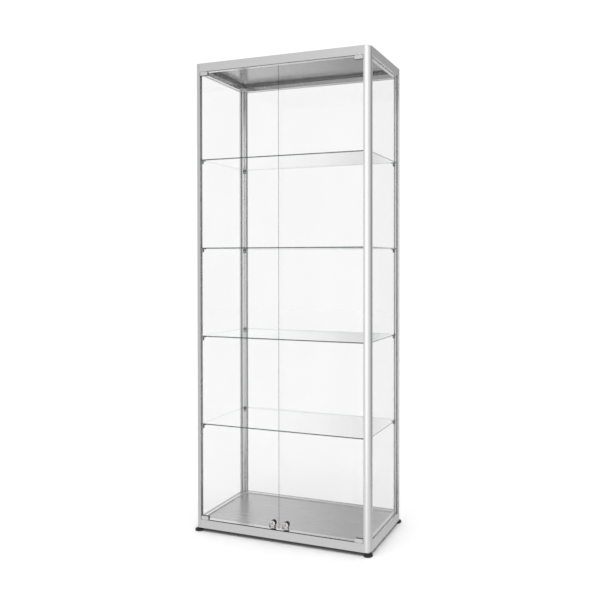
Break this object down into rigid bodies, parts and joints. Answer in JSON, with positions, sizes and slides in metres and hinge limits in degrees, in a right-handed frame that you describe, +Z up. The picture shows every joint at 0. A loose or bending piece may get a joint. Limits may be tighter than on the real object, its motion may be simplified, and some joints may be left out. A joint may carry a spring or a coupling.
{
  "type": "glass display showcase",
  "caption": "Tall free-standing glass showcase: silver aluminium frame, two locking hinged glass doors, adjustable glass shelves and levelling feet.",
  "frame": {"origin": "on the floor, in the middle of the four posts", "axes": "+Z up, -Y to the front with the doors, +X to the right seen from the front"},
  "size_m": [0.811, 0.4325, 2],
  "materials": {
    "anodised_frame": "satin silver anodised extrusion",
    "silver_board": "satin silver-grey sheet with fine brushing",
    "door_glass": "clear float glass, polished grey-green edges",
    "pane_glass": "clear float glass",
    "shelf_glass": "clear float glass, polished grey-green edges",
    "gasket_rubber": "light grey glazing gasket",
    "cast_connector": "as cast",
    "steel_screw": "zinc plated",
    "cap_plastic": "silver-grey moulded",
    "zinc_steel": "zinc plated",
    "bush_plastic": "white acetal",
    "dark_steel": "blackened",
    "clamp_aluminium": "satin silver anodised",
    "pin_steel": "ground",
    "lock_chrome": "polished",
    "plug_steel": "nickel plated",
    "key_nickel": "nickel plated, slightly worn",
    "support_chrome": "dark chrome plated die casting",
    "foot_plastic": "black moulded"
  },
  "bodies": {
    "cabinet": {"base_board": "silver_board", "base_front_rail": "anodised_frame", "base_left_rail": "anodised_frame", "base_rear_rail": "anodised_frame", "base_right_rail": "anodised_frame", "connector_screws": "steel_screw", "foot_inserts": "zinc_steel", "front_left_post": "anodised_frame", "front_right_post": "anodised_frame", "hinge_bushes": "bush_plastic", "left_glass": "pane_glass", "lock_strikes": "dark_steel", "pane_gaskets": "gasket_rubber", "post_caps": "cap_plastic", "rail_connectors": "cast_connector", "rear_glass": "pane_glass", "rear_left_post": "anodised_frame", "rear_right_post": "anodised_frame", "right_glass": "pane_glass", "top_board": "silver_board", "top_front_rail": "anodised_frame", "top_left_rail": "anodised_frame", "top_rear_rail": "anodised_frame", "top_right_rail": "anodised_frame"},
    "left_door": {"left_door_glass": "door_glass", "left_door_clamps": "clamp_aluminium", "left_door_pivot_pins": "pin_steel", "left_door_clamp_screws": "steel_screw", "left_lock_body": "lock_chrome"},
    "left_lock": {"left_lock_plug": "plug_steel", "left_key": "key_nickel"},
    "left_bolt": {"left_lock_bolt": "pin_steel"},
    "right_door": {"right_door_glass": "door_glass", "right_door_clamps": "clamp_aluminium", "right_door_pivot_pins": "pin_steel", "right_door_clamp_screws": "steel_screw", "right_lock_body": "lock_chrome"},
    "right_lock": {"right_lock_plug": "plug_steel", "right_key": "key_nickel"},
    "right_bolt": {"right_lock_bolt": "pin_steel"},
    "shelf_1": {"shelf_1_glass": "shelf_glass", "shelf_1_supports": "support_chrome", "shelf_1_fasteners": "steel_screw"},
    "shelf_2": {"shelf_2_glass": "shelf_glass", "shelf_2_supports": "support_chrome", "shelf_2_fasteners": "steel_screw"},
    "shelf_3": {"shelf_3_glass": "shelf_glass", "shelf_3_supports": "support_chrome", "shelf_3_fasteners": "steel_screw"},
    "shelf_4": {"shelf_4_glass": "shelf_glass", "shelf_4_supports": "support_chrome", "shelf_4_fasteners": "steel_screw"},
    "front_left_foot": {"front_left_foot_pad": "foot_plastic", "front_left_foot_stud": "zinc_steel"},
    "front_right_foot": {"front_right_foot_pad": "foot_plastic", "front_right_foot_stud": "zinc_steel"},
    "rear_left_foot": {"rear_left_foot_pad": "foot_plastic", "rear_left_foot_stud": "zinc_steel"},
    "rear_right_foot": {"rear_right_foot_pad": "foot_plastic", "rear_right_foot_stud": "zinc_steel"}
  },
  "joints": [
    {"name": "left_door_hinge", "type": "hinge", "parent": "cabinet", "child": "left_door", "pos_m": [-0.3575, -0.1935, 1.008], "axis": [0, 0, -1], "range_deg": [0, 110]},
    {"name": "left_key_turn", "type": "hinge", "parent": "left_door", "child": "left_lock", "pos_m": [-0.03, -0.195, 0.078], "axis": [0, -1, 0], "range_deg": [0, 90]},
    {"name": "left_bolt_slide", "type": "slide", "parent": "left_door", "child": "left_bolt", "axis": [0, 0, -1], "range_m": [0, 0.00708]},
    {"name": "right_door_hinge", "type": "hinge", "parent": "cabinet", "child": "right_door", "pos_m": [0.3575, -0.1935, 1.008], "axis": [0, 0, 1], "range_deg": [0, 110]},
    {"name": "right_key_turn", "type": "hinge", "parent": "right_door", "child": "right_lock", "pos_m": [0.03, -0.195, 0.078], "axis": [0, 1, 0], "range_deg": [0, 90]},
    {"name": "right_bolt_slide", "type": "slide", "parent": "right_door", "child": "right_bolt", "axis": [0, 0, -1], "range_m": [0, 0.00708]},
    {"name": "shelf_1_slide", "type": "slide", "parent": "cabinet", "child": "shelf_1", "axis": [0, 0, 1], "range_m": [-0.15, 0.15]},
    {"name": "shelf_2_slide", "type": "slide", "parent": "cabinet", "child": "shelf_2", "axis": [0, 0, 1], "range_m": [-0.15, 0.15]},
    {"name": "shelf_3_slide", "type": "slide", "parent": "cabinet", "child": "shelf_3", "axis": [0, 0, 1], "range_m": [-0.15, 0.15]},
    {"name": "shelf_4_slide", "type": "slide", "parent": "cabinet", "child": "shelf_4", "axis": [0, 0, 1], "range_m": [-0.15, 0.15]},
    {"name": "front_left_foot_slide", "type": "slide", "parent": "cabinet", "child": "front_left_foot", "axis": [0, 0, -1], "range_m": [0, 0.015]},
    {"name": "front_right_foot_slide", "type": "slide", "parent": "cabinet", "child": "front_right_foot", "axis": [0, 0, -1], "range_m": [0, 0.015]},
    {"name": "rear_left_foot_slide", "type": "slide", "parent": "cabinet", "child": "rear_left_foot", "axis": [0, 0, -1], "range_m": [0, 0.015]},
    {"name": "rear_right_foot_slide", "type": "slide", "parent": "cabinet", "child": "rear_right_foot", "axis": [0, 0, -1], "range_m": [0, 0.015]}
  ],
  "couplings": [
    {"joint": "left_bolt_slide", "follows": "left_key_turn", "m_per_rad": 0.0045016},
    {"joint": "right_bolt_slide", "follows": "right_key_turn", "m_per_rad": 0.0045016}
  ]
}
